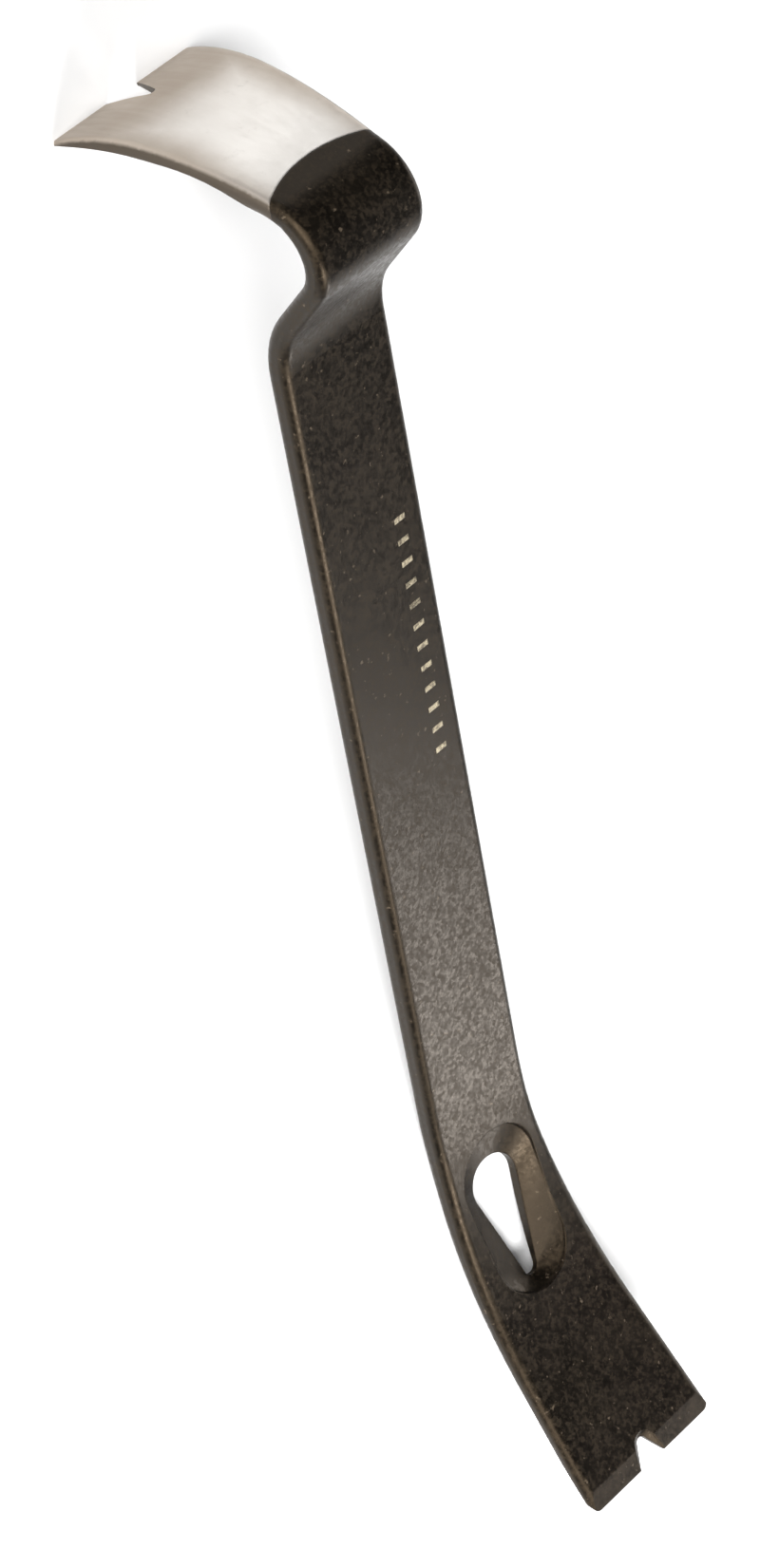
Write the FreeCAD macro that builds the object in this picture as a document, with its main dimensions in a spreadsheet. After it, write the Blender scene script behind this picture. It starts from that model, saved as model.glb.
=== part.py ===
import FreeCAD, Part
import math
import os
import Sketcher

# A one-piece forged flat pry bar, 381 mm (15 in) long, with its enamel coat and painted ticks.
#
# Modelling axes: +X runs along the shank from the hooked claw to the flared blade, +Y is the
# width, and Z = 0 is the outer face of the shank.  The claw hooks down and the blade kicks up.
# The finished bar is then laid on its claw edge and its bend, with the origin on the floor
# under the middle of its bounding box.

# Places on a sketch's geometry, as the sketcher numbers them.
START, END, CENTRE = 1, 2, 3
X_AXIS = -1
ORIGIN = (X_AXIS, START)

Y_DIRECTION = FreeCAD.Vector(0, 1, 0)
Z_DIRECTION = FreeCAD.Vector(0, 0, 1)
TICK_COUNT = 12

DIMENSIONS = {
    # shank
    "shank_start_x": (-102.0, "outer face: end of the flat, at the heel"),
    "shank_outer_length": (220.0, "outer face: flat length"),
    "shank_under_start_x": (-100.8, "underside: end of the flat, at the heel"),
    "shank_under_length": (218.8, "underside: flat length"),
    "shank_width": (32.0, "width of the shank"),
    "shank_thickness": (6.2, "thickness of the shank"),
    # outer face, from the shank to the claw
    "neck_outer_radius": (20.0, "outer face: hollow between shank and heel"),
    "neck_angle": (40.0, "slope of the neck above the shank"),
    "neck_outer_length": (14.6, "outer face: straight run of the neck"),
    "heel_outer_radius": (13.8, "outer face: heel"),
    "heel_outer_angle": (116.0, "outer face: turn of the heel"),
    "claw_root_length": (5.0, "outer face: straight run below the heel"),
    "claw_back_radius": (120.0, "outer face: upper claw"),
    "claw_back_angle": (14.0, "outer face: turn of the upper claw"),
    "claw_nose_radius": (62.0, "outer face: lower claw"),
    "claw_nose_angle": (25.3, "outer face: turn of the lower claw"),
    # underside, from the shank to the claw
    "neck_under_radius": (26.0, "underside: bend below the neck"),
    "neck_under_length": (14.0, "underside: straight run of the neck"),
    "heel_under_radius": (9.6, "underside: hollow of the heel"),
    "heel_under_angle": (103.0, "underside: turn of the heel"),
    "claw_root_under_length": (4.7, "underside: straight run below the heel"),
    "claw_stock_radius": (20.0, "underside before grinding: turn into the claw"),
    "claw_stock_length": (20.0, "underside before grinding: straight run of the claw"),
    "claw_stock_nose_radius": (52.0, "underside before grinding: lower claw"),
    "claw_stock_nose_length": (5.0, "underside before grinding: end of the claw"),
    "claw_back_under_radius": (50.0, "underside: thinning into the claw"),
    "claw_back_under_angle": (27.0, "underside: turn of the thinning"),
    "claw_web_length": (6.0, "underside: straight run of the claw"),
    "claw_nose_under_radius": (88.0, "underside: lower claw"),
    "claw_nose_under_angle": (17.7, "underside: turn of the lower claw"),
    # blade
    "bend_radius": (150.0, "outer face: bend into the blade"),
    "bend_angle": (31.5, "outer face: turn of the bend"),
    "blade_length": (35.7, "outer face: flat of the blade, to its edge"),
    "bend_under_radius": (149.7, "underside: bend into the blade"),
    "blade_bevel_start": (29.4, "run along the blade where its end bevel starts"),
    "blade_bevel_depth": (1.3, "depth of that bevel at the edge"),
    "blade_grind_root": (5.6, "depth of the ground underside at the end of the bend"),
    "blade_grind_edge": (2.2, "depth of the ground underside at the edge"),
    "grind_reach": (12.0, "how far the grinding cuts run past the bar"),
    "grind_overrun": (0.01, "how far those cuts run past the blade's edge"),
    # widths
    "end_width": (44.45, "width at the claw's edge and at the blade's edge"),
    "trim_split_x": (-128.0, "where the claw's side trim takes over from the shank's"),
    "blade_flare_start_x": (128.0, "where the blade's sides leave the shank's sides"),
    "blade_flare_end_x": (229.0, "where the blade has its full width"),
    "blade_flare_radius": (300.0, "blend between shank side and blade side"),
    "claw_flare_start_drop": (-8.5, "drop below the shank's face where the claw widens"),
    "claw_flare_end_drop": (54.0, "drop where the claw has its full width"),
    "claw_flare_radius": (40.0, "blend between heel side and claw side"),
    "trim_reach": (40.0, "how far the side trims and the claw's slot reach"),
    "trim_depth": (160.0, "depth of the shank's side trim and of the grinding, split about the middle"),
    # nail slot in the claw
    "claw_slot_mouth_drop": (54.0, "drop of the slot's mouth circle"),
    "claw_slot_mouth_radius": (4.7, "half width of the slot's mouth"),
    "claw_slot_root_drop": (44.4, "drop of the slot's root circle"),
    "claw_slot_root_radius": (1.4, "half width of the slot's root"),
    # nail slot in the blade, measured along the blade from the end of the bend
    "blade_slot_mouth_run": (35.9, "run of the slot's mouth circle"),
    "blade_slot_mouth_radius": (4.4, "half width of the slot's mouth"),
    "blade_slot_root_run": (29.6, "run of the slot's root circle"),
    "blade_slot_root_radius": (1.6, "half width of the slot's root"),
    "blade_slot_bevel": (1.6, "width of the bevel around the slot"),
    "blade_slot_bevel_depth": (1.3, "depth of the bevel around the slot"),
    # teardrop nail hole in the bend, measured on the plane tangent to the bend at hole_angle
    "hole_angle": (16.0, "turn of the bend where the hole's plane touches it"),
    "hole_big_run": (-10.0, "run of the big end's centre"),
    "hole_big_radius": (7.3, "radius of the big end"),
    "hole_small_run": (16.4, "run of the small end's centre"),
    "hole_small_radius": (2.2, "radius of the small end"),
    "hole_depth": (30.0, "depth of the hole's cut, split about its plane"),
    "dish_big_run": (-13.8, "run of the dish's upper centre"),
    "dish_big_radius": (12.2, "half width of the dish's upper end"),
    "dish_small_run": (9.4, "run of the dish's lower centre"),
    "dish_small_radius": (11.4, "half width of the dish's lower end"),
    "dish_depth": (3.2, "depth of the dish below the hole's plane"),
    "dish_rise": (4.0, "how far the dish's cut reaches above the hole's plane"),
    "dish_flare": (0.6, "extra radius of the dish at that height"),
    # rounding of the long edges
    "edge_radius": (2.2, "rounding of the long edges"),
    "side_reach": (14.0, "every long edge lies further than this from the middle"),
    "side_lean": (20.0, "most that the bar's sides lean away from the width direction"),
    # enamel coat
    "coat_thickness": (0.3, "thickness of the enamel"),
    "coat_line_radius": (32.0, "curve of the coat's edge across the claw"),
    "coat_line_height": (1.0, "height of the lowest point of that edge"),
    "coat_block_height": (120.0, "size of the blocks that bound the coat"),
    "coat_block_end_x": (190.0, "where the straight block ends and the tilted one takes over"),
    "coat_block_overlap": (30.0, "how far the tilted block reaches back"),
    # painted ticks beside the shank's right edge
    "tick_first_x": (-50.0, "start of the first tick"),
    "tick_pitch": (6.0, "spacing of the ticks"),
    "tick_length": (1.5, "size of a tick along the shank"),
    "tick_width": (3.4, "size of a tick across the shank"),
    "tick_near_y": (6.6, "side of the ticks nearest the middle"),
    "tick_depth": (0.15, "depth of the ticks' paint in the coat"),
}


def make_sheet(doc):
    sheet = doc.addObject("Spreadsheet::Sheet", "Dims")
    for row, (alias, (value, note)) in enumerate(DIMENSIONS.items(), start=1):
        sheet.set(f"A{row}", alias)
        sheet.set(f"B{row}", str(value))
        sheet.set(f"C{row}", note)
        sheet.setAlias(f"B{row}", alias)
    doc.recompute()
    return sheet


def direction(degrees):
    angle = math.radians(degrees)
    return FreeCAD.Vector(math.cos(angle), math.sin(angle), 0)


class Outline:
    """A sketch on one of its body's origin planes, with every size bound to the sheet."""

    def __init__(self, body, sheet, name, role, offset=FreeCAD.Placement()):
        self.sheet = sheet
        self.sketch = body.newObject("Sketcher::SketchObject", name)
        plane = next(item for item in body.Origin.OriginFeatures if item.Role == role)
        self.sketch.AttachmentSupport = [(plane, "")]
        self.sketch.MapMode = "FlatFace"
        self.sketch.AttachmentOffset = offset

    def read(self, expression):
        return float(self.sheet.evalExpression(expression))

    def bind(self, expression, kind, *places):
        value = self.read(expression)
        if kind == "Angle":
            value = math.radians(value)
        index = self.sketch.addConstraint(Sketcher.Constraint(kind, *places, value))
        self.sketch.setExpression(f"Constraints[{index}]", expression)

    def relate(self, kind, *places):
        self.sketch.addConstraint(Sketcher.Constraint(kind, *places))

    def line(self, start, finish):
        return self.sketch.addGeometry(Part.LineSegment(start, finish))

    def arc(self, centre, radius, first, last):
        circle = Part.Circle(centre, Z_DIRECTION, radius)
        return self.sketch.addGeometry(
            Part.ArcOfCircle(circle, math.radians(first), math.radians(last)))

    def locate(self, geometry, place, across, up):
        """Hold one point at the given distances from the sketch's origin."""
        self.bind(across, "DistanceX", *ORIGIN, geometry, place)
        self.bind(up, "DistanceY", *ORIGIN, geometry, place)

    def trace(self, joint, heading, metal, inset, steps):
        """Draw lines and arcs end to end, each tangent to the one before.

        joint is (geometry, place, point) of the end that the chain grows from.  metal names
        the side that the metal lies on, so that inset shrinks the bar all round.
        """
        geometry, place, point = joint
        for kind, *sizes in steps:
            if kind == "line":
                finish = point + direction(heading) * self.read(sizes[0])
                index = self.line(point, finish)
                self.bind(sizes[0], "Distance", index)
                near, far = START, END
            else:
                sign = 1 if kind == "left" else -1
                radius = f"{sizes[0]} - {inset}" if kind == metal else f"{sizes[0]} + {inset}"
                centre = point + direction(heading + sign * 90) * self.read(radius)
                first = heading - sign * 90
                last = first + sign * self.read(sizes[1])
                index = self.arc(centre, self.read(radius), min(first, last), max(first, last))
                self.bind(radius, "Radius", index)
                self.bind(sizes[1], "Angle", index)
                near, far = (START, END) if kind == "left" else (END, START)
                finish = centre + direction(last) * self.read(radius)
                heading = last + sign * 90
            self.relate("Tangent", geometry, place, index, near)
            geometry, place, point = index, far, finish
        return geometry, place, point

    def close(self, joint, other):
        """Join the free ends of two chains with a straight line."""
        index = self.line(joint[2], other[2])
        self.relate("Coincident", joint[0], joint[1], index, START)
        self.relate("Coincident", other[0], other[1], index, END)

    def flat(self, start_x, height, length):
        """A level line, returned as the joints at its two ends."""
        first = FreeCAD.Vector(self.read(start_x), self.read(height), 0)
        last = first + FreeCAD.Vector(self.read(length), 0, 0)
        index = self.line(first, last)
        self.relate("Horizontal", index)
        self.locate(index, START, start_x, height)
        self.bind(length, "Distance", index)
        return (index, START, first), (index, END, last)

    def teardrop(self, big_run, big_radius, small_run, small_radius):
        """Two arcs centred on the sketch's X axis and joined by their outer tangents."""
        runs = [self.read(big_run), self.read(small_run)]
        radii = [self.read(big_radius), self.read(small_radius)]
        facing = 0 if runs[1] > runs[0] else 180
        lean = math.degrees(math.acos((radii[0] - radii[1]) / abs(runs[1] - runs[0])))
        centres = [FreeCAD.Vector(run, 0, 0) for run in runs]
        upper, lower = facing + lean, facing + 360 - lean
        big = self.arc(centres[0], radii[0], upper, lower)
        small = self.arc(centres[1], radii[1], lower - 360, upper)
        sides = [self.line(centres[0] + direction(angle) * radii[0],
                           centres[1] + direction(angle) * radii[1])
                 for angle in (upper, lower)]
        for index, run, radius in ((big, big_run, big_radius), (small, small_run, small_radius)):
            self.relate("PointOnObject", index, CENTRE, X_AXIS)
            self.bind(run, "DistanceX", *ORIGIN, index, CENTRE)
            self.bind(radius, "Radius", index)
        self.relate("Tangent", big, START, sides[0], START)
        self.relate("Tangent", sides[0], END, small, END)
        self.relate("Tangent", big, END, sides[1], START)
        self.relate("Tangent", sides[1], END, small, START)

    def side_trim(self, side, inset, start, flare_start, flare_end, radius):
        """The waste beside the bar: a straight side that blends into a flared one."""
        sign = "" if side > 0 else "-"
        near = f"{sign}(Dims.shank_width / 2 - {inset})"
        wide = f"{sign}(Dims.end_width / 2 - {inset})"
        waste = f"{sign}Dims.trim_reach"
        blend = self.read(radius)
        hub = FreeCAD.Vector(self.read(flare_start), self.read(near) + side * blend, 0)
        end = FreeCAD.Vector(self.read(flare_end), self.read(wide), 0)
        reach = end - hub
        lean = math.degrees(math.asin(blend / reach.Length) - math.atan2(-side * reach.y, reach.x))
        first, last = (-90, lean - 90) if side > 0 else (90 - lean, 90)
        touch = hub + direction(-side * (90 - lean)) * blend
        points = [FreeCAD.Vector(self.read(start), self.read(near), 0),
                  FreeCAD.Vector(hub.x, self.read(near), 0), touch, end,
                  FreeCAD.Vector(end.x, self.read(waste), 0),
                  FreeCAD.Vector(self.read(start), self.read(waste), 0)]
        straight = self.line(points[0], points[1])
        bend = self.arc(hub, blend, first, last)
        flared = self.line(points[2], points[3])
        tail = self.line(points[3], points[4])
        far = self.line(points[4], points[5])
        head = self.line(points[5], points[0])
        near_end, far_end = (START, END) if side > 0 else (END, START)
        self.relate("Horizontal", straight)
        self.relate("Tangent", straight, END, bend, near_end)
        self.relate("Tangent", bend, far_end, flared, START)
        self.relate("Coincident", flared, END, tail, START)
        self.relate("Coincident", tail, END, far, START)
        self.relate("Coincident", far, END, head, START)
        self.relate("Coincident", head, END, straight, START)
        self.relate("Vertical", tail)
        self.relate("Horizontal", far)
        self.relate("Vertical", head)
        self.locate(straight, START, start, near)
        self.bind(flare_start, "DistanceX", *ORIGIN, straight, END)
        self.bind(radius, "Radius", bend)
        self.locate(flared, END, flare_end, wide)
        self.bind(waste, "DistanceY", *ORIGIN, far, START)


NECK_AND_HEEL_UNDERSIDE = [
    ("right", "Dims.neck_under_radius", "Dims.neck_angle"),
    ("line", "Dims.neck_under_length"),
    ("left", "Dims.heel_under_radius", "Dims.heel_under_angle")]


def draw_underside_flat(outline, inset):
    return outline.flat("Dims.shank_under_start_x", f"{inset} - Dims.shank_thickness",
                        "Dims.shank_under_length")


def draw_side_profile(body, sheet, inset):
    """The bar from the side as it leaves the hammer, before the claw and blade are ground."""
    outline = Outline(body, sheet, "SideProfile", "XZ_Plane")
    outer_left, outer_right = outline.flat(
        "Dims.shank_start_x", f"-({inset})", "Dims.shank_outer_length")
    under_left, under_right = draw_underside_flat(outline, inset)
    claw_back = outline.trace(outer_left, 180, "left", inset, [
        ("right", "Dims.neck_outer_radius", "Dims.neck_angle"),
        ("line", "Dims.neck_outer_length"),
        ("left", "Dims.heel_outer_radius", "Dims.heel_outer_angle"),
        ("line", "Dims.claw_root_length"),
        ("left", "Dims.claw_back_radius", "Dims.claw_back_angle"),
        ("left", "Dims.claw_nose_radius", "Dims.claw_nose_angle")])
    claw_front = outline.trace(under_left, 180, "right", inset, NECK_AND_HEEL_UNDERSIDE + [
        ("left", "Dims.claw_stock_radius", "Dims.claw_back_under_angle"),
        ("line", "Dims.claw_stock_length"),
        ("left", "Dims.claw_stock_nose_radius", "Dims.claw_nose_angle"),
        ("line", "Dims.claw_stock_nose_length")])
    blade_top = outline.trace(outer_right, 0, "right", inset, [
        ("left", "Dims.bend_radius", "Dims.bend_angle"),
        ("line", "Dims.blade_length")])
    blade_under = outline.trace(under_right, 0, "left", inset, [
        ("left", "Dims.bend_under_radius", "Dims.bend_angle"),
        ("line", "Dims.blade_length")])
    outline.close(claw_back, claw_front)
    outline.close(blade_top, blade_under)
    return outline


def draw_claw_grinding(body, sheet, inset):
    """The waste inside the hook that thins the claw to its edge."""
    outline = Outline(body, sheet, "ClawGrinding", "XZ_Plane")
    under_left, _ = draw_underside_flat(outline, inset)
    heel = outline.trace(under_left, 180, "right", inset, NECK_AND_HEEL_UNDERSIDE)
    for index in range(outline.sketch.GeometryCount):
        outline.sketch.toggleConstruction(index)
    heading = 180 - outline.read("Dims.neck_angle") + outline.read("Dims.heel_under_angle")
    tip = outline.trace(heel, heading, "right", inset, [
        ("line", "Dims.claw_root_under_length"),
        ("left", "Dims.claw_back_under_radius", "Dims.claw_back_under_angle"),
        ("line", "Dims.claw_web_length"),
        ("left", "Dims.claw_nose_under_radius", "Dims.claw_nose_under_angle"),
        ("line", "Dims.grind_reach")])
    wall_x = outline.read("Dims.trim_split_x")
    corners = [tip[2],
               FreeCAD.Vector(wall_x, tip[2].y, 0),
               FreeCAD.Vector(wall_x, heel[2].y, 0),
               heel[2]]
    floor, wall, roof = (outline.line(*pair) for pair in zip(corners, corners[1:]))
    outline.relate("Coincident", tip[0], tip[1], floor, START)
    outline.relate("Coincident", floor, END, wall, START)
    outline.relate("Coincident", wall, END, roof, START)
    outline.relate("Coincident", roof, END, heel[0], heel[1])
    outline.relate("Horizontal", floor)
    outline.relate("Vertical", wall)
    outline.relate("Horizontal", roof)
    outline.bind("Dims.trim_split_x", "DistanceX", *ORIGIN, wall, START)
    return outline


def draw_blade_grinding(body, sheet, name, starts, ends, reach):
    """Waste beside the blade, bounded by a line between two points given as (run, depth)."""
    turn = FreeCAD.Rotation(Z_DIRECTION, sheet.bend_angle)
    outline = Outline(body, sheet, name, "XZ_Plane", FreeCAD.Placement(FreeCAD.Vector(), turn))
    across, up = tilted_plane("Dims.bend_angle", "0")
    outline.sketch.setExpression("AttachmentOffset.Base.x", across)
    outline.sketch.setExpression("AttachmentOffset.Base.y", up)
    outline.sketch.setExpression("AttachmentOffset.Rotation.Angle", "Dims.bend_angle")
    places = [starts, ends, (ends[0], reach), (starts[0], reach)]
    corners = [FreeCAD.Vector(outline.read(run), outline.read(depth), 0)
               for run, depth in places]
    sides = [outline.line(*pair) for pair in zip(corners, corners[1:] + corners[:1])]
    for side, following in zip(sides, sides[1:] + sides[:1]):
        outline.relate("Coincident", side, END, following, START)
    outline.locate(sides[0], START, *starts)
    outline.locate(sides[0], END, *ends)
    outline.relate("Vertical", sides[1])
    outline.relate("Horizontal", sides[2])
    outline.relate("Vertical", sides[3])
    outline.bind(reach, "DistanceY", *ORIGIN, sides[2], START)
    return outline


def tilted_plane(angle, drop):
    """Position of a plane tangent to the bend at the given angle, lowered by drop."""
    hub = "Dims.shank_start_x + Dims.shank_outer_length"
    across = f"{hub} + (Dims.bend_radius + {drop}) * sin({angle})"
    up = f"Dims.bend_radius - (Dims.bend_radius + {drop}) * cos({angle})"
    return across, up


def tilted_outline(body, sheet, name, angle, drop):
    """Outline whose plane is tangent to the bend at the given angle, lowered by drop."""
    turn = FreeCAD.Rotation(-Y_DIRECTION, sheet.evalExpression(angle))
    outline = Outline(body, sheet, name, "XY_Plane", FreeCAD.Placement(FreeCAD.Vector(), turn))
    across, up = tilted_plane(angle, drop)
    outline.sketch.setExpression("AttachmentOffset.Base.x", across)
    outline.sketch.setExpression("AttachmentOffset.Base.z", up)
    outline.sketch.setExpression("AttachmentOffset.Rotation.Angle", angle)
    return outline


def claw_outline(body, sheet, name):
    """Outline seen along the bar from the claw side: its X axis points down, its Y axis across."""
    offset = FreeCAD.Placement(FreeCAD.Vector(), FreeCAD.Rotation(Z_DIRECTION, -90))
    outline = Outline(body, sheet, name, "YZ_Plane", offset)
    outline.sketch.setExpression("AttachmentOffset.Base.z", "Dims.trim_split_x")
    return outline


def cut(body, name, outline, depth, middle=False):
    pocket = body.newObject("PartDesign::Pocket", name)
    pocket.Profile = outline.sketch
    pocket.setExpression("Length", depth)
    pocket.Midplane = middle
    return pocket


def loft_cut(body, name, outlines):
    loft = body.newObject("PartDesign::SubtractiveLoft", name)
    loft.Profile = outlines[0].sketch
    loft.Sections = [outline.sketch for outline in outlines[1:]]
    loft.Ruled = True
    return loft


def faces_sideways(sheet, face, point):
    along, across = face.Surface.parameter(point)
    lean = math.degrees(face.normalAt(along, across).getAngle(Y_DIRECTION))
    return min(lean, 180 - lean) < sheet.side_lean


def round_long_edges(body, sheet, inset, side):
    """Round the edges between one of the bar's sides and its outer face and underside."""
    tip = body.Tip
    shape = tip.Shape
    names = []
    for number, edge in enumerate(shape.Edges, start=1):
        middle = edge.valueAt((edge.FirstParameter + edge.LastParameter) / 2)
        beside = shape.ancestorsOfType(edge, Part.Face)
        sideways = [faces_sideways(sheet, face, middle) for face in beside]
        if middle.y * side > sheet.side_reach and sum(sideways) == 1:
            names.append(f"Edge{number}")
    fillet = body.newObject("PartDesign::Fillet", "LongEdges")
    fillet.Base = (tip, names)
    fillet.setExpression("Radius", f"Dims.edge_radius - {inset}")
    body.Document.recompute()


def trim_sides(body, sheet, inset):
    """Cut the blank to the bar's plan: a straight shank that widens at both ends."""
    plan = Outline(body, sheet, "PlanTrim", "XY_Plane")
    front = claw_outline(body, sheet, "ClawTrim")
    for side in (1, -1):
        plan.side_trim(side, inset, "Dims.trim_split_x", "Dims.blade_flare_start_x",
                       "Dims.blade_flare_end_x", "Dims.blade_flare_radius")
        front.side_trim(side, inset, "-Dims.trim_reach", "Dims.claw_flare_start_drop",
                        "Dims.claw_flare_end_drop", "Dims.claw_flare_radius")
    cut(body, "ShankSides", plan, "Dims.trim_depth", middle=True)
    cut(body, "ClawSides", front, "Dims.trim_reach")
    body.Document.recompute()


def grind_ends(body, sheet, inset):
    """Thin the claw from inside the hook, and the blade from both faces."""
    edge_run = "Dims.blade_length + Dims.grind_overrun"
    claw = draw_claw_grinding(body, sheet, inset)
    underside = draw_blade_grinding(
        body, sheet, "BladeGrinding", ("0", f"{inset} - Dims.blade_grind_root"),
        (edge_run, f"{inset} - Dims.blade_grind_edge"), "-Dims.grind_reach")
    bevel = draw_blade_grinding(
        body, sheet, "BladeBevelling", ("Dims.blade_bevel_start", f"-({inset})"),
        (edge_run, f"-({inset}) - Dims.blade_bevel_depth"), "Dims.grind_reach")
    cut(body, "ClawGrind", claw, "Dims.trim_depth", middle=True)
    cut(body, "BladeGrind", underside, "Dims.trim_depth", middle=True)
    cut(body, "BladeBevel", bevel, "Dims.trim_depth", middle=True)


def cut_claw_slot(body, sheet, inset):
    slot = claw_outline(body, sheet, "ClawSlotOutline")
    slot.teardrop("Dims.claw_slot_mouth_drop", f"Dims.claw_slot_mouth_radius + {inset}",
                  "Dims.claw_slot_root_drop", f"Dims.claw_slot_root_radius + {inset}")
    cut(body, "ClawSlot", slot, "Dims.trim_reach")


def blade_slot_outline(body, sheet, name, drop, growth):
    outline = tilted_outline(body, sheet, name, "Dims.bend_angle", drop)
    outline.teardrop("Dims.blade_slot_mouth_run", f"Dims.blade_slot_mouth_radius + {growth}",
                     "Dims.blade_slot_root_run", f"Dims.blade_slot_root_radius + {growth}")
    return outline


def cut_blade_slot(body, sheet, inset):
    """The nail slot through the blade, and the bevel around its upper edge."""
    slot = blade_slot_outline(body, sheet, "BladeSlotOutline", "0", inset)
    cut(body, "BladeSlot", slot, "Dims.hole_depth", middle=True)
    floor = blade_slot_outline(body, sheet, "SlotBevelFloor", "Dims.blade_slot_bevel_depth", inset)
    top = blade_slot_outline(body, sheet, "SlotBevelTop", "(-Dims.blade_slot_bevel_depth)",
                             f"{inset} + 2 * Dims.blade_slot_bevel")
    loft_cut(body, "BladeSlotBevel", [floor, top])


def hole_outline(body, sheet, name, drop, growth):
    outline = tilted_outline(body, sheet, name, "Dims.hole_angle", drop)
    outline.teardrop("Dims.hole_big_run", f"Dims.hole_big_radius + {growth}",
                     "Dims.hole_small_run", f"Dims.hole_small_radius + {growth}")
    return outline


def dish_outline(body, sheet, name, drop, growth):
    outline = tilted_outline(body, sheet, name, "Dims.hole_angle", drop)
    outline.teardrop("Dims.dish_big_run", f"Dims.dish_big_radius + {growth}",
                     "Dims.dish_small_run", f"Dims.dish_small_radius + {growth}")
    return outline


def cut_nail_hole(body, sheet, inset):
    """The teardrop hole through the bend, and the shallow dish around it."""
    hole = hole_outline(body, sheet, "HoleOutline", "0", inset)
    cut(body, "Hole", hole, "Dims.hole_depth", middle=True)
    floor = hole_outline(body, sheet, "DishFloor", f"(Dims.dish_depth + {inset} / 2)", inset)
    rim = dish_outline(body, sheet, "DishRim", "0", inset)
    top = dish_outline(body, sheet, "DishTop", "(-Dims.dish_rise)", f"{inset} + Dims.dish_flare")
    loft_cut(body, "Dish", [floor, rim, top])


def build_bar(doc, sheet, name, inset):
    """The whole bar, shrunk all round by inset: forged, rounded, then ground and slotted."""
    body = doc.addObject("PartDesign::Body", name)
    blank = body.newObject("PartDesign::Pad", "Blank")
    blank.Profile = draw_side_profile(body, sheet, inset).sketch
    blank.Midplane = True
    blank.setExpression("Length", f"Dims.end_width - 2 * {inset}")
    trim_sides(body, sheet, inset)
    for side in (-1, 1):
        round_long_edges(body, sheet, inset, side)
    grind_ends(body, sheet, inset)
    cut_claw_slot(body, sheet, inset)
    cut_blade_slot(body, sheet, inset)
    cut_nail_hole(body, sheet, inset)
    doc.recompute()
    return body


def block(doc, name, expressions):
    box = doc.addObject("Part::Box", name)
    for target, expression in expressions.items():
        box.setExpression(target, expression)
    return box


def fuse(doc, name, pieces):
    union = doc.addObject("Part::MultiFuse", name)
    union.Shapes = pieces
    return union


def cut_away(doc, name, base, tool):
    remainder = doc.addObject("Part::Cut", name)
    remainder.Base = base
    remainder.Tool = tool
    return remainder


def coated_space(doc, sheet):
    """The space that the enamel reaches: from its line on the claw to the blade's edge."""
    claw_side = doc.addObject("Part::Cylinder", "ClawSideSpace")
    claw_side.Placement.Rotation = FreeCAD.Rotation(Y_DIRECTION, -90)
    claw_side.setExpression("Radius", "Dims.coat_line_radius")
    claw_side.setExpression("Height", "Dims.trim_reach")
    claw_side.setExpression("Placement.Base.x", "Dims.trim_split_x")
    claw_side.setExpression("Placement.Base.z", "Dims.coat_line_height + Dims.coat_line_radius")
    shank_side = block(doc, "ShankSideSpace", {
        "Length": "Dims.coat_block_end_x - Dims.trim_split_x",
        "Width": "Dims.coat_block_height",
        "Height": "Dims.coat_block_height",
        "Placement.Base.x": "Dims.trim_split_x",
        "Placement.Base.y": "-Dims.coat_block_height / 2",
        "Placement.Base.z": "-Dims.coat_block_height / 2"})
    blade_side = block(doc, "BladeSideSpace", {
        "Length": "Dims.blade_length + Dims.grind_reach + Dims.coat_block_overlap",
        "Width": "Dims.coat_block_height",
        "Height": "Dims.coat_block_overlap"})
    blade_side.Placement.Rotation = FreeCAD.Rotation(-Y_DIRECTION, sheet.bend_angle)
    blade_side.setExpression("Placement.Rotation.Angle", "Dims.bend_angle")
    across, up = tilted_plane("Dims.bend_angle", "(Dims.coat_block_overlap / 2)")
    back = "Dims.coat_block_overlap"
    blade_side.setExpression("Placement.Base.x", f"{across} - {back} * cos(Dims.bend_angle)")
    blade_side.setExpression("Placement.Base.y", "-Dims.coat_block_height / 2")
    blade_side.setExpression("Placement.Base.z", f"{up} - {back} * sin(Dims.bend_angle)")
    return fuse(doc, "CoatedSpace", [claw_side, shank_side, blade_side])


def build_ticks(doc):
    """A row of plain painted ticks sunk into the coat."""
    ticks = []
    for number in range(TICK_COUNT):
        ticks.append(block(doc, f"Tick{number + 1}", {
            "Length": "Dims.tick_length",
            "Width": "Dims.tick_width",
            "Height": "Dims.tick_depth",
            "Placement.Base.x": f"Dims.tick_first_x + {number} * Dims.tick_pitch",
            "Placement.Base.y": "Dims.tick_near_y",
            "Placement.Base.z": "-Dims.tick_depth"}))
    marks = doc.addObject("Part::Compound", "Ticks")
    marks.Links = ticks
    return marks


def lay_down(sheet, nodes, claw_tip):
    """Turn the bar so that it rests on claw and bend, and centre it on the floor."""
    hub_x = sheet.shank_under_start_x + sheet.shank_under_length
    hub_z = sheet.bend_under_radius - sheet.shank_thickness
    reach = FreeCAD.Vector(hub_x - claw_tip.x, 0, hub_z - claw_tip.z)
    tilt = math.atan2(reach.z, reach.x) - math.asin(sheet.bend_under_radius / reach.Length)
    turn = FreeCAD.Rotation(Y_DIRECTION, math.degrees(tilt))
    whole = Part.makeCompound([node.Shape for node in nodes])
    whole.Placement = FreeCAD.Placement(FreeCAD.Vector(), turn)
    box = whole.optimalBoundingBox(False, False)
    shift = FreeCAD.Vector(-box.Center.x, -box.Center.y, -box.ZMin)
    for node in nodes:
        node.Placement = FreeCAD.Placement(shift, turn)


def check_all_built(doc):
    for item in doc.Objects:
        if "Invalid" in item.State or "Error" in item.State:
            raise RuntimeError(f"{item.Label} did not build")
        shape = getattr(item, "Shape", None)
        if shape is not None and (shape.isNull() or not shape.isValid()):
            raise RuntimeError(f"{item.Label} has a bad shape")


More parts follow.
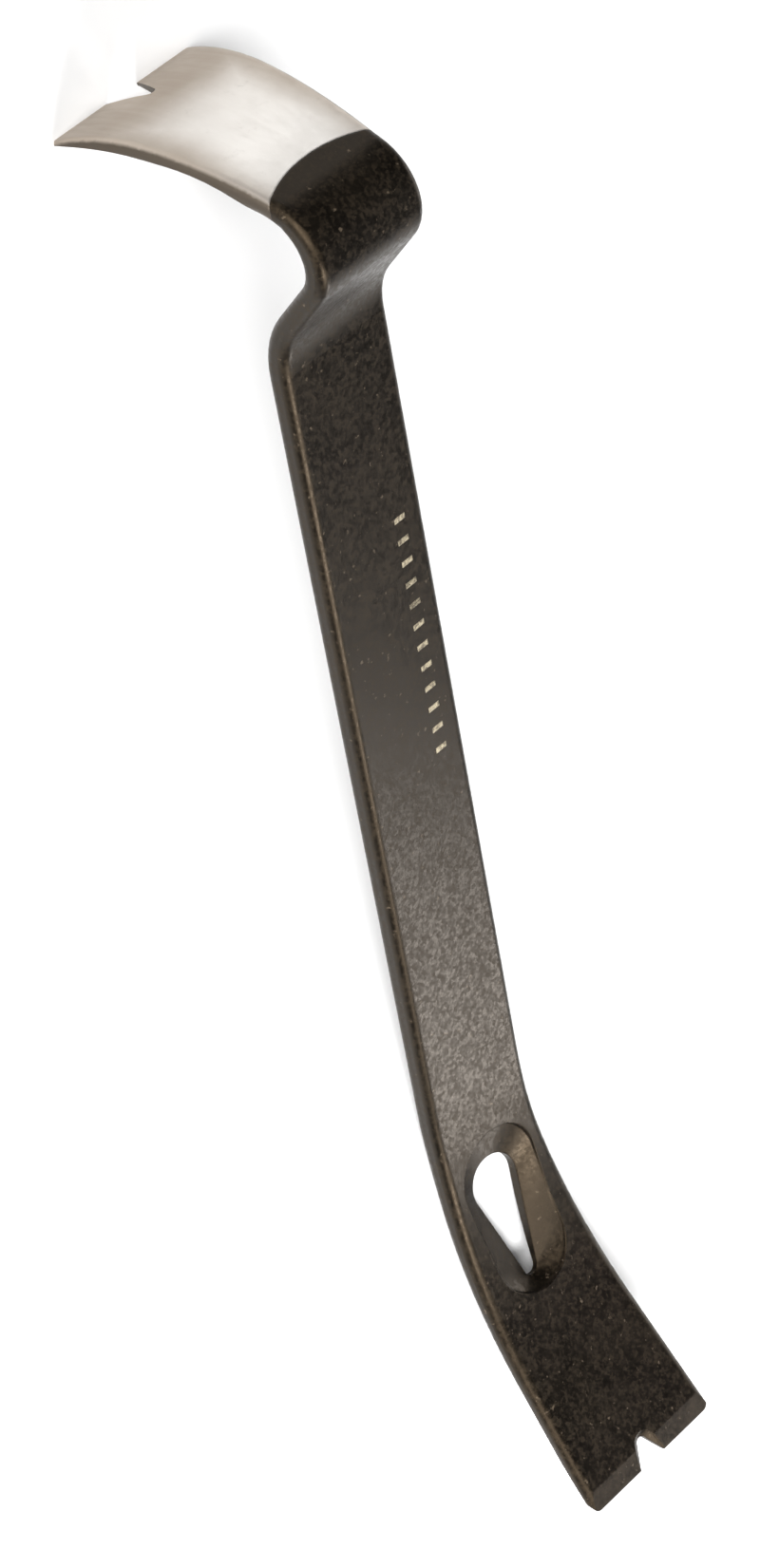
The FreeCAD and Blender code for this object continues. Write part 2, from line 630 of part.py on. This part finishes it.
def main():
    doc = FreeCAD.newDocument("PryBar")
    sheet = make_sheet(doc)
    nominal = build_bar(doc, sheet, "NominalBar", "0")
    core = build_bar(doc, sheet, "CoreBar", "Dims.coat_thickness")

    coated = doc.addObject("Part::Common", "CoatedBar")
    coated.Base = nominal
    coated.Tool = coated_space(doc, sheet)
    shell = cut_away(doc, "CoatShell", coated, core)
    bar = cut_away(doc, "ForgedBar", nominal, shell)
    ticks = build_ticks(doc)
    coat = cut_away(doc, "EnamelCoat", shell, ticks)
    nodes = {"forged_bar": bar, "enamel_coat": coat, "tick_marks": ticks}
    doc.recompute()
    claw_tip = min((vertex.Point for vertex in bar.Shape.Vertexes), key=lambda point: point.z)
    lay_down(sheet, list(nodes.values()), claw_tip)
    for label, node in nodes.items():
        node.Label = label
    doc.recompute()
    check_all_built(doc)

    os.makedirs("parts", exist_ok=True)
    for label, node in nodes.items():
        node.Shape.exportStep(f"parts/{label}.step")


main()
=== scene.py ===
import math

import bpy
from mathutils import Matrix, Vector

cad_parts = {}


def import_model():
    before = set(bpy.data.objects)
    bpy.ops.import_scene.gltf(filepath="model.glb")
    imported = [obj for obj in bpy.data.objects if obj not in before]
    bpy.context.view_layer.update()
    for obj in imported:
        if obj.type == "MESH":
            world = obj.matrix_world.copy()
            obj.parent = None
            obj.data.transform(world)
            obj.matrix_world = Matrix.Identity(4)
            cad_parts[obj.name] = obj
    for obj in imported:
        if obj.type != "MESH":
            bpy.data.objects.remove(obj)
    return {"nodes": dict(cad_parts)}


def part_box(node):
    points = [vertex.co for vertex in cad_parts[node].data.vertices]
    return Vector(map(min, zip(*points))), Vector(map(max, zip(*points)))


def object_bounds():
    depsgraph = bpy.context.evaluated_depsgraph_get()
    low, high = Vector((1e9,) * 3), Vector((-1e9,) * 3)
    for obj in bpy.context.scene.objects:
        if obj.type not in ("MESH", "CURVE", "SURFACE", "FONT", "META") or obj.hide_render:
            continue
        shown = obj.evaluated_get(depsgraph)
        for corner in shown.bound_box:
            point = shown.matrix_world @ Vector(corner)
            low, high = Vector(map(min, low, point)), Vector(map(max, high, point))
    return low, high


# Looks for the forged pry bar: bare ground steel at the claw, a satin black enamel over the
# rest, and a row of plain paint ticks, on a pale studio floor. Lengths are in metres.

# The bevel of the edges, seen only in the shading
EDGE_ROUNDING = 0.0006
EDGE_SAMPLES = 6

FLOOR_HALF_SIZE = 30.0
WORLD_STRENGTH = 0.07

# Where the camera stands, and the directions of its image's right and down
CAMERA_PLACE = (-0.62220, -0.57010, 0.78968)
CAMERA_RIGHT = (0.26738, 0.66612, 0.69627)
CAMERA_DOWN = (0.80182, -0.55455, 0.22262)
CAMERA_LENS = 114.26
CAMERA_SENSOR = 36.0
CAMERA_CLIP_START = 0.01


class Nodes:
    """Short-hand for building one procedural material."""

    # A colour mix has sockets for several kinds of value, with the same names
    MIX_FIRST, MIX_SECOND, MIX_RESULT = "A_Color", "B_Color", "Result_Color"

    def __init__(self, name):
        self.material = bpy.data.materials.new(name)
        self.material.use_nodes = True
        self.tree = self.material.node_tree
        self.shader = self.tree.nodes["Principled BSDF"]
        coordinates = self.tree.nodes.new("ShaderNodeTexCoord")
        self.place = coordinates.outputs["Object"]
        self.normal = coordinates.outputs["Normal"]

    def new(self, kind, **settings):
        node = self.tree.nodes.new(kind)
        for key, value in settings.items():
            setattr(node, key, value)
        return node

    def join(self, output, socket):
        self.tree.links.new(output, socket)

    def stretch(self, scale, turn=(0, 0, 0)):
        mapping = self.new("ShaderNodeMapping")
        mapping.inputs["Scale"].default_value = scale
        mapping.inputs["Rotation"].default_value = [math.radians(angle) for angle in turn]
        self.join(self.place, mapping.inputs["Vector"])
        return mapping.outputs["Vector"]

    def noise(self, scale, detail=4.0, roughness=0.55, stretch=(1, 1, 1), turn=(0, 0, 0)):
        node = self.new("ShaderNodeTexNoise")
        node.inputs["Scale"].default_value = scale
        node.inputs["Detail"].default_value = detail
        node.inputs["Roughness"].default_value = roughness
        self.join(self.stretch(stretch, turn), node.inputs["Vector"])
        return node.outputs["Fac"]

    def cells(self, scale):
        """A random value for each grain of the given number per metre."""
        node = self.new("ShaderNodeTexVoronoi")
        node.inputs["Scale"].default_value = scale
        self.join(self.place, node.inputs["Vector"])
        parts = self.new("ShaderNodeSeparateColor")
        self.join(node.outputs["Color"], parts.inputs["Color"])
        return parts.outputs["Red"]

    def remap(self, value, low, high, to_low=0.0, to_high=1.0):
        """Ease smoothly from one value to another between low and high."""
        node = self.new("ShaderNodeMapRange", interpolation_type="SMOOTHSTEP")
        node.inputs["From Min"].default_value = low
        node.inputs["From Max"].default_value = high
        node.inputs["To Min"].default_value = to_low
        node.inputs["To Max"].default_value = to_high
        self.join(value, node.inputs["Value"])
        return node.outputs["Result"]

    def combine(self, operation, first, second):
        node = self.new("ShaderNodeMath", operation=operation)
        for value, socket in zip((first, second), node.inputs):
            if isinstance(value, (int, float)):
                socket.default_value = value
            else:
                self.join(value, socket)
        return node.outputs["Value"]

    def blend(self, factor, first, second):
        """The first colour where the factor is 0, the second where it is 1."""
        node = self.new("ShaderNodeMix", data_type="RGBA")
        self.join(factor, node.inputs["Factor"])
        inputs = {socket.identifier: socket for socket in node.inputs}
        outputs = {socket.identifier: socket for socket in node.outputs}
        for value, name in ((first, self.MIX_FIRST), (second, self.MIX_SECOND)):
            if isinstance(value, tuple):
                inputs[name].default_value = (*value, 1.0)
            else:
                self.join(value, inputs[name])
        return outputs[self.MIX_RESULT]

    def axis(self, name):
        node = self.new("ShaderNodeSeparateXYZ")
        self.join(self.place, node.inputs["Vector"])
        return node.outputs[name]

    def facing(self, name):
        """How far the surface faces along one axis of the object."""
        node = self.new("ShaderNodeSeparateXYZ")
        self.join(self.normal, node.inputs["Vector"])
        return node.outputs[name]

    def bump(self, layers):
        """Stack of bumps, each given as (height, depth in metres)."""
        bevel = self.new("ShaderNodeBevel", samples=EDGE_SAMPLES)
        bevel.inputs["Radius"].default_value = EDGE_ROUNDING
        normal = bevel.outputs["Normal"]
        for height, depth in layers:
            node = self.new("ShaderNodeBump")
            node.inputs["Strength"].default_value = 1.0
            node.inputs["Distance"].default_value = depth
            self.join(height, node.inputs["Height"])
            self.join(normal, node.inputs["Normal"])
            normal = node.outputs["Normal"]
        self.join(normal, self.shader.inputs["Normal"])

    def set(self, **values):
        """Set the shader's sockets, with an underscore for each space in a name."""
        for name, value in values.items():
            socket = self.shader.inputs[name.replace("_", " ")]
            if isinstance(value, (int, float)):
                socket.default_value = value
            elif isinstance(value, tuple):
                socket.default_value = (*value, 1.0)
            else:
                self.join(value, socket)


def bare_steel():
    """Ground and polished on the claw's faces, with painted shade on its side faces and a painted
    highlight: lighter in the middle of the claw, darker toward its rim and tip.
    """
    m = Nodes("bare_steel")
    clouds = m.noise(38, 5, 0.6)
    brush = m.noise(700, 3, 0.6, stretch=(1, 1, 0.04))
    pits = m.noise(1400, 2, 0.5)
    low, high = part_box("forged_bar")
    # Painted highlight: the claw is coloured lighter in its middle and darker toward its long edges
    # and its tip, with random clouds mixed in.
    across = m.remap(m.combine("ABSOLUTE", m.axis("Y"), 0.0), 0.006, 0.021)
    near_tip = m.remap(m.axis("Z"), high.z * 0.52, high.z * 0.08)
    highlight_falloff = m.combine("MAXIMUM", m.combine("MULTIPLY", across, 0.8), near_tip)
    highlight_and_clouds = m.remap(m.combine("ADD", highlight_falloff, m.combine("MULTIPLY", clouds, 0.5)), 0.15, 1.15)
    colour = m.blend(highlight_and_clouds, (0.80, 0.77, 0.73), (0.40, 0.34, 0.28))
    scale = m.remap(m.noise(160, 6, 0.7), 0.58, 0.74)
    colour = m.blend(m.combine("MULTIPLY", scale, 0.15), colour, (0.18, 0.15, 0.12))
    # Painted shade: surfaces that face along +Y or -Y, the claw's side faces, are coloured darker.
    painted_side_shade = m.remap(m.combine("ABSOLUTE", m.facing("Y"), 0.0), 0.45, 0.8)
    colour = m.blend(painted_side_shade, colour, (0.085, 0.070, 0.055))
    polish = m.combine("ADD", m.combine("MULTIPLY", clouds, 0.5), m.combine("MULTIPLY", brush, 0.5))
    m.set(Base_Color=colour, Metallic=1.0, Roughness=m.remap(polish, 0.3, 0.7, 0.33, 0.50))
    m.bump([(clouds, 0.00015), (brush, 0.000015), (pits, 0.000010)])
    return m.material


def black_enamel():
    """Satin black with a brown cast, finely grained, with sparse paler specks."""
    m = Nodes("black_enamel")
    mottle = m.noise(70, 5, 0.6)
    grain = m.combine("ADD", m.combine("MULTIPLY", m.cells(850), 0.5),
                   m.combine("MULTIPLY", m.cells(1600), 0.5))
    ripple = m.noise(650, 4, 0.6)
    specks = m.noise(620, 3, 0.5)
    colour = m.blend(m.remap(mottle, 0.35, 0.7), (0.0015, 0.0013, 0.0011), (0.005, 0.004, 0.003))
    colour = m.blend(m.remap(grain, 0.35, 0.95), colour, (0.012, 0.009, 0.006))
    colour = m.blend(m.combine("MULTIPLY", m.remap(specks, 0.66, 0.76), 0.6), colour,
                     (0.11, 0.085, 0.06))
    sheen = m.combine("ADD", m.combine("MULTIPLY", grain, 0.7), m.combine("MULTIPLY", mottle, 0.3))
    m.set(Base_Color=colour, Metallic=0.0, Roughness=m.remap(sheen, 0.2, 0.8, 0.32, 0.5),
          IOR=1.5, Specular_IOR_Level=0.27, Specular_Tint=(1.0, 0.74, 0.48))
    m.bump([(mottle, 0.000015), (ripple, 0.000003)])
    return m.material


def mark_paint():
    """Dull pale gold, worn darker in small patches."""
    m = Nodes("mark_paint")
    wear = m.remap(m.noise(900, 5, 0.7), 0.42, 0.62)
    colour = m.blend(wear, (0.50, 0.43, 0.29), (0.16, 0.13, 0.09))
    m.set(Base_Color=colour, Roughness=m.remap(wear, 0, 1, 0.5, 0.7))
    m.bump([(m.noise(1800, 3), 0.00001)])
    return m.material


def floor_finish():
    """Pale and matt, almost even."""
    m = Nodes("studio_floor")
    shade = m.noise(3, 2)
    m.set(Base_Color=m.blend(shade, (0.86, 0.86, 0.86), (0.88, 0.88, 0.88)), Roughness=0.8,
          Specular_IOR_Level=0.1)
    return m.material


def dress(node, material):
    node.data.materials.clear()
    node.data.materials.append(material)


def add_floor():
    reach = FLOOR_HALF_SIZE
    corners = [(-reach, -reach, 0), (reach, -reach, 0), (reach, reach, 0), (-reach, reach, 0)]
    mesh = bpy.data.meshes.new("studio_floor")
    mesh.from_pydata(corners, [], [(0, 1, 2, 3)])
    floor = bpy.data.objects.new("studio_floor", mesh)
    bpy.context.scene.collection.objects.link(floor)
    dress(floor, floor_finish())


def add_camera():
    data = bpy.data.cameras.new("studio_camera")
    data.lens = CAMERA_LENS
    data.sensor_width = CAMERA_SENSOR
    data.sensor_fit = "AUTO"
    data.clip_start = CAMERA_CLIP_START
    camera = bpy.data.objects.new("studio_camera", data)
    bpy.context.scene.collection.objects.link(camera)
    right = Vector(CAMERA_RIGHT).normalized()
    up = -Vector(CAMERA_DOWN).normalized()
    back = right.cross(up)
    turn = Matrix((right, up, back)).transposed().to_4x4()
    camera.matrix_world = Matrix.Translation(CAMERA_PLACE) @ turn
    bpy.context.scene.camera = camera


def add_softbox(name, towards, distance, size, power, centre):
    """A rectangular soft light that faces the centre from the given direction."""
    data = bpy.data.lights.new(name, "AREA")
    data.shape = "RECTANGLE"
    data.size, data.size_y = size
    data.energy = power
    lamp = bpy.data.objects.new(name, data)
    bpy.context.scene.collection.objects.link(lamp)
    direction = Vector(towards).normalized()
    lamp.location = Vector(centre) + direction * distance
    lamp.rotation_euler = direction.to_track_quat("Z", "Y").to_euler()


def add_wide_light(name, towards, spread, strength):
    """A very large far panel, seen from the object under the given angle in degrees."""
    data = bpy.data.lights.new(name, "SUN")
    data.angle = math.radians(spread)
    data.energy = strength
    lamp = bpy.data.objects.new(name, data)
    bpy.context.scene.collection.objects.link(lamp)
    lamp.rotation_euler = Vector(towards).to_track_quat("Z", "Y").to_euler()


def light_studio(low, high):
    """A small softbox for the shank's lower end, one for the long edges, one for the sides
    and a very wide panel for the claw, over a dim even world."""
    world = bpy.data.worlds.new("studio_world")
    world.use_nodes = True
    background = world.node_tree.nodes["Background"]
    background.inputs["Color"].default_value = (1, 1, 1, 1)
    background.inputs["Strength"].default_value = WORLD_STRENGTH
    bpy.context.scene.world = world
    bend = Vector((high.x * 0.35, 0, high.z * 0.5))
    centre = (low + high) / 2
    add_softbox("shank_softbox", towards=(0.79, 0.465, 0.40), distance=0.5,
                size=(0.16, 0.14), power=0.95, centre=bend)
    add_softbox("edge_softbox", towards=(0.60, -0.33, 0.73), distance=1.0,
                size=(0.55, 0.22), power=11.0, centre=centre)
    add_wide_light("sky_panel", towards=(-0.35, -0.80, 0.50), spread=52, strength=5.6)
    add_softbox("side_softbox", towards=(0.15, 0.93, 0.34), distance=1.7,
                size=(1.2, 0.8), power=12.0, centre=centre)


def main():
    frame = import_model()
    cad_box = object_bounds()
    low, high = (Vector(corner) for corner in cad_box)
    finishes = {"forged_bar": bare_steel(), "enamel_coat": black_enamel(),
                "tick_marks": mark_paint()}
    for name, finish in finishes.items():
        dress(frame["nodes"][name], finish)

    add_floor()
    light_studio(low, high)
    add_camera()
    bpy.context.scene.view_settings.view_transform = "Standard"


main()
